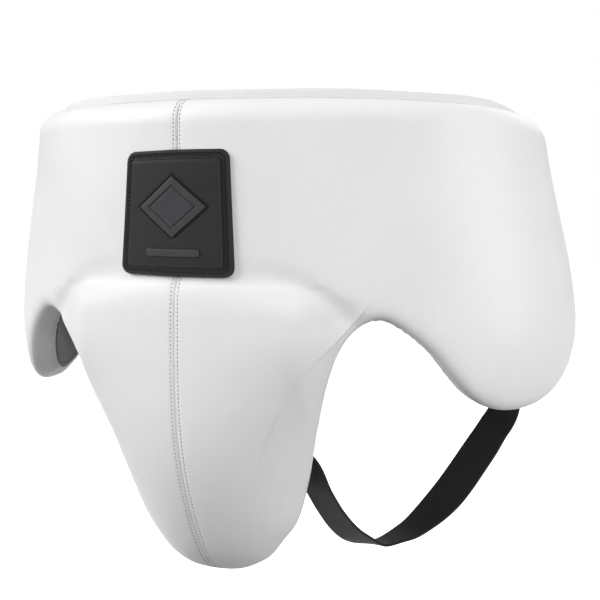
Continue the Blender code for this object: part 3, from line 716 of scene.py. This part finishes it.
# Ribs are 0.5 mm apart; they are drawn 1.0 mm apart, so that they show.
ribs = add(
    tree, "ShaderNodeTexWave", {"Scale": 1 / 0.001 / 6.28 * 2, "Distortion": 0.4}, {"Vector": lay.outputs[0]},
    bands_direction="X",
)
fibre = add(tree, "ShaderNodeTexNoise", {"Scale": 1400.0, "Detail": 2.0}, {"Vector": lay.outputs[0]})
ribbed = add(
    tree, "ShaderNodeMix", {"A": linear("#D5D5D6"), "B": linear("#DEDEDE")}, {"Factor": ribs.outputs["Fac"]},
    data_type="RGBA",
)
coarse = add(tree, "ShaderNodeMath", {1: 0.4}, {0: fibre.outputs["Fac"]}, operation="MULTIPLY")
total = add(tree, "ShaderNodeMath", links={0: coarse.outputs[0], 1: ribs.outputs["Fac"]}, operation="ADD")
raised_ribs = add(tree, "ShaderNodeBump", {"Strength": 0.25, "Distance": 0.0001}, {"Height": total.outputs[0]})
fed(tree, shader, {"Base Color": ribbed.outputs[2], "Normal": raised_ribs.outputs[0]})

binding = piece("waist_binding", binding_points, binding_faces, white_tape, "pad", uv=binding_uv)
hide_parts("top_binding")

pale_thread = spun_thread("white bonded thread", "#E2E2E4", "#D0D0D3")
ROW_OUT, ROW_RISE, BINDING_PITCH, BINDING_LENGTH, BINDING_THREAD = 1.25, 1.0, 2.6, 1.9, 0.22
out = both_halves(outward(binding_flat))
for row_name, way in (("binding_stitch", 1), ("binding_stitch_inside", -1)):
    half = raised(binding_flat, BINDING_LEVEL + way * ROW_OUT)
    half[:, 2] = binding_flat[:, 1] + ROW_RISE
    stitches(
        row_name, both_halves(half), way * out, BINDING_PITCH, BINDING_LENGTH, BINDING_THREAD, pale_thread,
        "pad",
    )

# The badge: a black coated-leather square, pressed in a hot mould, so that its border sinks and its middle
# stands up with a plain lozenge and a bar. It is sewn on through the sunken border.
BADGE_SIDE, BADGE_CORNER, BADGE_MIDDLE = 77.0, 6.5, -69.0
LOZENGE_WIDE, LOZENGE_TALL, LOZENGE_MIDDLE = 46.0, 36.0, -65.0
BAR_WIDE, BAR_TALL, BAR_MIDDLE = 36.0, 4.5, -93.0
BADGE_ARC = 188.0  # millimetres round the cup's front for each radian, at the badge
FAR_LEAN, FAR_SHORTER = 0.035, 0.03
RING = 360
ring_turn = np.arange(RING) * 2 * math.pi / RING


def square_ring(inset, wide=BADGE_SIDE, tall=BADGE_SIDE, corner=BADGE_CORNER):
    """A rounded rectangle, as far in from its outline as it says, sampled evenly by direction."""
    half = np.array([wide, tall]) / 2 - inset
    corner = max(corner - inset, 0.8)
    way = np.stack([np.cos(ring_turn), np.sin(ring_turn)], 1)
    reach = np.min(half / np.maximum(np.abs(way), 1e-9), axis=1)
    point = way * reach[:, None]
    centre = (half - corner) * np.sign(point)
    off = point - centre
    in_corner = (off * np.sign(point) > 0).all(axis=1)
    size = np.linalg.norm(off, axis=1, keepdims=True)
    point[in_corner] = (centre + off / np.maximum(size, 1e-9) * corner)[in_corner]
    return point


def lozenge_ring(outset):
    """A lozenge's outline, moved out by a distance."""
    half = np.array([LOZENGE_WIDE, LOZENGE_TALL]) / 2
    depth = half[0] * half[1] / np.hypot(*half)
    half = half * (depth + outset) / depth
    way = np.stack([np.cos(ring_turn), np.sin(ring_turn)], 1)
    return way / np.abs(way / half).sum(axis=1)[:, None]


badge_rings, badge_levels = [], []
# The badge's section from its edge inwards: (distance in, level), with the sewn border sunk below the panel.
border = [(0.0, 10.6), (0.0, 12.7), (0.25, 13.3), (0.8, 13.6), (1.9, 13.65), (2.3, 13.3), (2.7, 12.95)]
border += [(3.9, 12.95), (4.3, 12.9), (4.8, 13.1), (5.2, 13.0), (5.5, 13.1), (5.7, 14.3), (6.1, 14.8)]
border += [(6.9, 15.05), (8.0, 15.1)]
for inset, level in border:
    badge_rings.append(square_ring(inset) + (0, BADGE_MIDDLE))
    badge_levels.append(level)
panel_edge, emblem_edge = square_ring(8.0) + (0, BADGE_MIDDLE), lozenge_ring(2.4) + (0, LOZENGE_MIDDLE)
PANEL_RINGS, EMBLEM_FOOT, PANEL_LEVEL = 13, 4, 15.1
for share in np.linspace(0, 1, PANEL_RINGS + 1)[1:]:
    badge_rings.append(panel_edge * (1 - share) + emblem_edge * share)
    badge_levels.append(PANEL_LEVEL)
# The lozenge: (distance out from its outline, level), with a groove round its inner face.
emblem = [(2.0, 14.95), (1.6, 14.45), (0.7, 14.4), (0.45, 14.7), (0.3, 16.0), (0.0, 16.3), (-0.5, 16.4)]
emblem += [(-3.2, 16.4), (-3.5, 16.2), (-3.7, 15.7), (-4.5, 15.65), (-4.7, 16.1), (-5.0, 16.3), (-5.5, 16.35)]
emblem += [(-8.0, 16.35), (-11.0, 16.35), (-13.9, 16.35)]
for outset, level in emblem:
    badge_rings.append(lozenge_ring(outset) + (0, LOZENGE_MIDDLE))
    badge_levels.append(level)


def on_badge(flat, level):
    """Points of the badge over the front of the pad, with its far side drawn in a little by the leather."""
    x, rise = flat[..., 0], flat[..., 1] - BADGE_MIDDLE
    half = BADGE_SIDE / 2
    wide = x * ARC / BADGE_ARC * (1 - np.where(x < 0, FAR_LEAN, 0.0) * rise / half)
    flat = np.stack([wide, BADGE_MIDDLE + rise * (1 + FAR_SHORTER * np.minimum(x, 0) / half)], -1)
    return bulged(raised(flat, level), flat, 1.0)


def topped(rings):
    """Faces over a stack of closed rings, with a cap on the last one."""
    return grid_faces(rings, RING, closed=True) + [[(rings - 1) * RING + k for k in range(RING)]]


badge_points = np.vstack([
    on_badge(ring, level + 0 * ring_turn) for ring, level in zip(badge_rings, badge_levels)
])
emblem_from = len(border) + PANEL_RINGS + EMBLEM_FOOT
badge_parts = [int(ring >= emblem_from) for ring in range(len(badge_rings) - 1) for _ in range(RING)] + [1]


def pressed_leather(name, colour, dark, roughness):
    """Black coated split leather, hot-pressed: dull in the field, smoother where the mould pressed hardest."""
    made, tree, shader = new_finish(name, {"IOR": 1.5, "Specular IOR Level": 0.2})
    lie = {"Vector": add(tree, "ShaderNodeTexCoord").outputs["Object"]}
    # Pressed grain of 0.6 mm, drawn at 1.0 mm, so that it shows.
    grain = add(tree, "ShaderNodeTexVoronoi", {"Scale": 1 / 0.001}, lie, feature="SMOOTH_F1")
    dust = add(tree, "ShaderNodeTexNoise", {"Scale": 45.0, "Detail": 4.0}, lie)
    mix = add(
        tree, "ShaderNodeMix", {"A": linear(dark), "B": linear(colour)}, {"Factor": dust.outputs["Fac"]},
        data_type="RGBA",
    )
    dull = add(
        tree, "ShaderNodeMapRange",
        {"From Min": 0.3, "From Max": 0.7, "To Min": roughness - 0.07, "To Max": roughness + 0.07},
        {"Value": dust.outputs["Fac"]},
    )
    dents = add(
        tree, "ShaderNodeBump", {"Strength": 0.4, "Distance": 0.0001}, {"Height": grain.outputs["Distance"]},
        invert=True,
    )
    fed(tree, shader, {"Base Color": mix.outputs[2], "Roughness": dull.outputs[0], "Normal": dents.outputs[0]})
    return made


PRESSED_ANGLE = 28
black_field = pressed_leather("pressed black leather", "#222224", "#18181A", 0.54)
# The emblem is the field's black leather painted a lighter grey: painted sheen on its raised, smoother face.
emblem_painted_sheen = pressed_leather("pressed black leather emblem with painted sheen", "#3F3F42", "#353538", 0.42)
badge = piece(
    "badge", badge_points, topped(len(badge_rings)), [black_field, emblem_painted_sheen], "pad", badge_parts,
    smooth_angle=PRESSED_ANGLE,
)
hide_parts("patch_base", "patch_panel", "patch_lozenge")

bar_rings = [(0.0, 14.9), (0.0, 15.9), (0.25, 16.2), (0.6, 16.3), (1.9, 16.3)]
bar_points = np.vstack([
    on_badge(square_ring(inset, BAR_WIDE, BAR_TALL, 1.2) + (0, BAR_MIDDLE), level + 0 * ring_turn)
    for inset, level in bar_rings
])
bar = piece("badge_bar", bar_points, topped(len(bar_rings)), emblem_painted_sheen, "pad", smooth_angle=PRESSED_ANGLE)
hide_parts("patch_bar")

black_thread = spun_thread("black bonded thread", "#0A0A0A", "#040404", sheen=0.0)
ROW_IN, ROW_LEVEL, BADGE_PITCH, BADGE_LENGTH, BADGE_THREAD = 3.35, 13.0, 2.7, 1.7, 0.5
row = square_ring(ROW_IN) + (0, BADGE_MIDDLE)
row = spaced(np.vstack([row, row[:1]]), 700)
stitches(
    "badge_stitch", on_badge(row, ROW_LEVEL + 0 * row[:, 0]), outward(row * (ARC / BADGE_ARC, 1)), BADGE_PITCH,
    BADGE_LENGTH, BADGE_THREAD, black_thread, "pad", sink=0.0,
)

# The leg straps: 25 mm black elastic. Each is sewn to the lining of a wing and to the back of the cup under a
# small leather patch, and its free length hangs between them in a U.
STRAP_WIDE, STRAP_THICK = 25.0, 2.0
# Where the straps hang from: (degrees round, height, level), and how far their loop swings out behind.
STRAP_WING, STRAP_CUP, STRAP_TILT = (94, -154, -21.5), (17, -218, -22.0), 18.0
# The hanging curve: (run from wing towards cup, drop below that line, turn of the width out of its plane).
STRAP_ROUTE = [
    (0, 0, -15), (20.6, 37.4, -18), (34.4, 50.8, -20), (47.8, 62, -25), (75.5, 82.7, -24),
    (101.7, 94.5, -2), (116.3, 96.6, 12), (130.7, 95.6, 23), (142, 85.8, 37), (148.6, 73.8, 37),
    (153.3, 56.6, 33), (156.3, 39, 32), (161, 20.7, 36), (172, 0, 60),
]


def pad_point(angle, z, level):
    """One point over the pad, at degrees round, a height and a level."""
    return raised(on_flat([(angle, z)])[0], level)


def hang_point(angle, z, level):
    """The point inside the pad where a strap hangs, at the strap's own height."""
    x, y, _ = pad_point(angle, z, level)
    return np.array([x, y, z])


def band(name, middle_line, width, thick, looks, body, ribs=0, edge=0.9):
    """A woven band with rounded selvedges and both ends closed."""
    out = unit(np.cross(np.gradient(middle_line, axis=0), width))
    half, reach = thick / 2, np.linalg.norm(width, axis=1).mean()
    inner = 1 - edge / reach
    flat = np.linspace(-inner, inner, 2 * ribs + 3)
    lift = [half * (1 - 0.10 * (k % 2)) for k in range(len(flat))]
    upper = [(share, rise) for share, rise in zip(flat, lift)]
    around = np.radians([30, 60, 90, 120, 150])
    turn = [(inner + edge / reach * math.sin(a), half * math.cos(a)) for a in around]
    lower = [(-share, -rise) for share, rise in upper]
    section = upper + turn + lower + [(-a, -b) for a, b in turn]
    points = np.array([middle_line + width * share + out * rise for share, rise in section]).transpose(1, 0, 2)
    count = len(section)
    faces = grid_faces(len(middle_line), count, closed=True)
    faces += [list(range(count))[::-1], [(len(middle_line) - 1) * count + k for k in range(count)]]
    run = run_along(middle_line)
    uv = np.array([(s, share * reach) for s in run for share, _ in section])
    return piece(name, points.reshape(-1, 3), faces, looks, body, uv=uv)


# Polyester yarn woven over rubber: almost dull, with fine ribs across and cords along it.
black_elastic, tree, shader = new_finish(
    "woven black elastic", {"Roughness": 0.78, "Specular IOR Level": 0.25, "Sheen Weight": 0.08}
)
lay = add(tree, "ShaderNodeUVMap", uv_map="lay")
# Weft ribs are 0.9 mm apart and rubber cords 1.6 mm.
weft = add(
    tree, "ShaderNodeTexWave", {"Scale": 1 / 0.0009 / 6.28 * 2, "Distortion": 0.6}, {"Vector": lay.outputs[0]},
    bands_direction="X",
)
cords = add(
    tree, "ShaderNodeTexWave", {"Scale": 1 / 0.0016 / 6.28 * 2}, {"Vector": lay.outputs[0]},
    bands_direction="Y",
)
over = add(
    tree, "ShaderNodeMath", links={0: weft.outputs["Fac"], 1: cords.outputs["Fac"]}, operation="MULTIPLY"
)
fuzz = add(tree, "ShaderNodeTexNoise", {"Scale": 700.0, "Detail": 2.0}, {"Vector": lay.outputs[0]})
yarn = add(
    tree, "ShaderNodeMix", {"A": linear("#0E0E0F"), "B": linear("#1E1E1F")}, {"Factor": over.outputs[0]},
    data_type="RGBA",
)
worn = add(
    tree, "ShaderNodeMapRange", {"From Min": 0.5, "From Max": 0.8, "To Min": 0.0, "To Max": 0.35},
    {"Value": fuzz.outputs["Fac"]},
)
fluffy = add(
    tree, "ShaderNodeMix", {"B": linear("#2A2A2B")}, {"Factor": worn.outputs[0], "A": yarn.outputs[2]},
    data_type="RGBA",
)
woven = add(tree, "ShaderNodeBump", {"Strength": 0.6, "Distance": 0.0002}, {"Height": over.outputs[0]})
fed(tree, shader, {"Base Color": fluffy.outputs[2], "Normal": woven.outputs[0]})

wing_end, cup_end = hang_point(*STRAP_WING), hang_point(*STRAP_CUP)
span = cup_end - wing_end
across = unit(span)
down = unit(np.array([0, 0, -1]) + across * across[2])
lean = math.radians(STRAP_TILT)
hang = math.cos(lean) * down + math.sin(lean) * np.cross(down, across)
sideways = np.cross(hang, across)
route = curve_through(STRAP_ROUTE, 150)
hanging = wing_end + route[:, :1] / STRAP_ROUTE[-1][0] * span + route[:, 1:2] * hang
way = unit(np.gradient(hanging, axis=0))
turn = np.radians(route[:, 2:])
hung_width = np.cos(turn) * sideways + np.sin(turn) * np.cross(way, sideways)


def sewn_end(angle, top_z, foot_z, level, foot_level, count=14):
    """The strap's sewn end, flat against the lining, from its cut end down to where it hangs free."""
    z = np.linspace(top_z, foot_z, count)
    share = smooth((np.linspace(0, 1, count) - 0.45) / 0.55)
    return np.array([pad_point(angle, h, level + (foot_level - level) * s) for h, s in zip(z, share)])


wing_sewn = sewn_end(STRAP_WING[0], -126, -151, -14.0, STRAP_WING[2])
cup_sewn = sewn_end(STRAP_CUP[0], -192, -215, -14.2, STRAP_CUP[2])[::-1]
flats = []
for angle, z in ((STRAP_WING[0], -140), (STRAP_CUP[0], -204)):
    lay_way = pad_point(angle + 1, z, -14) - pad_point(angle - 1, z, -14)
    flats.append((unit(lay_way), outward(on_flat([(angle, z)])[0])))
# Near its sewn ends the strap lies parallel to the pad, and turns into its hanging curve over LEAD millimetres.
LEAD = 40.0
hang_run = run_along(hanging)
turned = hung_width
for (flat_way, flat_out), run in zip(flats, (hang_run, hang_run[-1] - hang_run)):
    level_way = unit(np.cross(way, flat_out))
    level_way *= np.sign((level_way * turned).sum(axis=1))[np.argmin(np.abs(run - LEAD))]
    near = (1 - smooth((run - 6) / LEAD))[:, None]
    turned = unit(turned * (1 - near) + level_way * near)
ends = [flat_way * np.sign(flat_way @ edge) for (flat_way, _), edge in zip(flats, (turned[0], turned[-1]))]
strap_middle = np.vstack([wing_sewn, hanging[3:-3], cup_sewn])
strap_width = np.vstack([
    np.repeat(ends[0][None], len(wing_sewn), 0), turned[3:-3], np.repeat(ends[1][None], len(cup_sewn), 0)
]) * STRAP_WIDE / 2
# The leather patches: (degrees round, top, foot, level) and the node each stands for. Their section is
# (distance in, rise), from the edge to the middle.
ANCHORS = {"wing": (94, -123, -145, -15.6, "wing_tab"), "cup": (16.5, -188, -207, -15.9, "cup_tab")}
ANCHOR_WIDE, ANCHOR_CORNER, ANCHOR_ROW_IN = 29.0, 3.0, 2.6
ANCHOR_SECTION = ((0.0, 2.4), (0.0, 0.5), (0.3, 0.1), (0.8, 0.0), (2.6, 0.15), (4.0, 0.0), (6.0, -0.1))
for side, sign in SIDES.items():
    strap = band(
        f"leg_elastic_{side}", strap_middle * (sign, 1, 1), strap_width * (sign, 1, 1), STRAP_THICK,
        black_elastic, None, ribs=6,
    )
    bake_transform(strap)
    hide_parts(f"leg_strap_{side}")
    for end_name, (angle, head, foot, level, node) in ANCHORS.items():
        spot, tall = (math.radians(angle) * ARC, (head + foot) / 2), head - foot
        points = np.vstack([
            raised(square_ring(inset, ANCHOR_WIDE, tall, ANCHOR_CORNER) + spot, level + rise + 0 * ring_turn)
            for inset, rise in ANCHOR_SECTION
        ])
        anchor = piece(
            f"strap_anchor_{end_name}_{side}", points * (sign, 1, 1), topped(len(ANCHOR_SECTION)),
            white_leather, "pad",
        )
        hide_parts(f"{node}_{side}")
        ring = square_ring(ANCHOR_ROW_IN, ANCHOR_WIDE, tall, ANCHOR_CORNER) + spot
        ring = spaced(np.vstack([ring, ring[:1]]), 300)
        stitches(
            f"strap_anchor_stitch_{end_name}_{side}", raised(ring, level + 0.1 + 0 * ring[:, 0]) * (sign, 1, 1),
            -outward(ring) * (sign, 1, 1), 3.0, 2.2, 0.32, shade_greyed_thread, "pad",
        )

# The back belt: 75 mm black elastic from each wing, joined behind the waist with hook and loop tape. A leather
# gusset is sewn inside each wing over the belt's end, and the long belt ends in a leather pull tab.
BELT_TOP, BELT_BOTTOM, BELT_THICK, BELT_BACK, BELT_FLARE = -30.0, -105.0, 3.0, 104.0, 5.0
HINGE_ANGLE, HINGE_LEVEL, HINGE_TURN = 110.3, -6.0, 1.5
OVERLAP, OVERLAP_FROM, OVERLAP_SPREAD = 7.2, 55.0, 45.0
# The gusset from its front edge to the hinge: (degrees round, level).
GUSSET_STEPS = [(94, -14.2), (97, -14.4), (99.5, -14.8), (103, -14.6), (106, -13.3), (108.6, -10.8)]
GUSSET_ROWS, GUSSET_ROW_LEVEL, GUSSET_PITCH, GUSSET_LENGTH, GUSSET_THREAD = (96, 98.5), -15.4, 3.2, 2.4, 0.35
PANEL_GAP, PANEL_THICK = 0.4, 1.4


def belt_point(turn, z, out):
    """A point round the wearer's back at a turn from the left hinge, a height and a distance out."""
    x, y, _ = pad_point(HINGE_ANGLE, z, HINGE_LEVEL)
    depth = BELT_BACK + BELT_FLARE * (z - BELT_TOP) / (BELT_BOTTOM - BELT_TOP) - y
    normal = unit(np.array([depth * math.cos(turn), x * math.sin(turn)]))
    plan = np.array([x * math.cos(turn), y + depth * math.sin(turn)]) + out * normal
    return np.array([plan[0], plan[1], z])


def belt_lines(first, last, out, margin, count):
    """A belt piece's middle line and half widths."""
    turns = np.radians(np.linspace(first, last, count))
    top = np.array([belt_point(t, BELT_TOP - margin, out(t)) for t in turns])
    bottom = np.array([belt_point(t, BELT_BOTTOM + margin, out(t)) for t in turns])
    return (top + bottom) / 2, (bottom - top) / 2


def long_out(turn):
    """How far out the long belt lies, as it goes over the short one."""
    return OVERLAP * smooth((math.degrees(turn) - OVERLAP_FROM) / OVERLAP_SPREAD)


def short_out(turn):
    """The short belt lies on the plain line."""
    return 0.0


def tape(name, colour, dark, scale, depth):
    """Nylon hook and loop tape: hooks 1.3 mm apart in rows, or a fluffy mat of loops."""
    made, tree, shader = new_finish(name, {"Roughness": 0.9, "Sheen Weight": 0.3, "Specular IOR Level": 0.3})
    place = add(tree, "ShaderNodeTexCoord")
    pile = add(tree, "ShaderNodeTexVoronoi", {"Scale": scale}, {"Vector": place.outputs["Object"]})
    mix = add(
        tree, "ShaderNodeMix", {"A": linear(colour), "B": linear(dark)}, {"Factor": pile.outputs["Distance"]},
        data_type="RGBA",
    )
    tufts = add(
        tree, "ShaderNodeBump", {"Strength": 0.9, "Distance": depth}, {"Height": pile.outputs["Distance"]},
        invert=True,
    )
    fed(tree, shader, {"Base Color": mix.outputs[2], "Normal": tufts.outputs[0]})
    return made


hook_tape = tape("nylon hook tape", "#2A2A2B", "#0C0C0D", 770, 0.0008)
loop_tape = tape("nylon loop tape", "#303031", "#19191A", 1500, 0.0006)

BELTS = {
    "long": ("left", 1, HINGE_TURN, 141.0, long_out, "long_belt", 120),
    "short": ("right", -1, 180 - HINGE_TURN, 104.0, short_out, "short_belt", 80),
}
for which, (side, sign, first, last, out, body, count) in BELTS.items():
    middle_line, width = belt_lines(first, last, out, 0.0, count)
    belt = band(f"belt_elastic_{which}", middle_line, width, BELT_THICK, black_elastic, None, ribs=24, edge=1.5)
    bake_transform(belt)
    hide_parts(f"belt_{which}")
    # The gusset over the belt's end, sewn flat inside the wing.
    tops, bottoms = [
        curve_through([pad_point(angle, z, level) for angle, level in GUSSET_STEPS], 40)
        for z in (BELT_TOP - 1, BELT_BOTTOM + 1)
    ]
    root_middle, root_width = (tops + bottoms) / 2 * (sign, 1, 1), (bottoms - tops) / 2 * (sign, 1, 1)
    root = band(f"belt_gusset_{side}", root_middle, root_width, 1.8, white_leather, "pad", ribs=6)
    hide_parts(f"belt_root_{side}")
    for row, angle in enumerate(GUSSET_ROWS):
        z = np.linspace(BELT_TOP - 4, BELT_BOTTOM + 4, 120)
        flat = np.stack([0 * z + math.radians(angle) * ARC, z], 1)
        line = raised(flat, GUSSET_ROW_LEVEL + 0 * z) * (sign, 1, 1)
        stitches(
            f"gusset_stitch_{side}_{row}", line, -outward(flat) * (sign, 1, 1), GUSSET_PITCH, GUSSET_LENGTH,
            GUSSET_THREAD, shade_greyed_thread, "pad",
        )

middle_line, width = belt_lines(
    110, 139, lambda t: long_out(t) - BELT_THICK / 2 - PANEL_GAP - PANEL_THICK / 2, 6.0, 40
)
hooks = band("hook_tape", middle_line, width, PANEL_THICK, hook_tape, "long_belt", ribs=4, edge=0.5)
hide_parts("hook_panel")
middle_line, width = belt_lines(
    172, 106, lambda t: short_out(t) + BELT_THICK / 2 + PANEL_GAP + PANEL_THICK / 2, 4.0, 70
)
pile = band("loop_tape", middle_line, width, PANEL_THICK, loop_tape, "short_belt", ribs=4, edge=0.5)
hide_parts("loop_panel")
middle_line, width = belt_lines(142.2, 149, long_out, 14.0, 16)
puller = band("belt_pull_tab", middle_line, width, 1.8, white_leather, "pull_tab_body", ribs=4)
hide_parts("pull_tab")
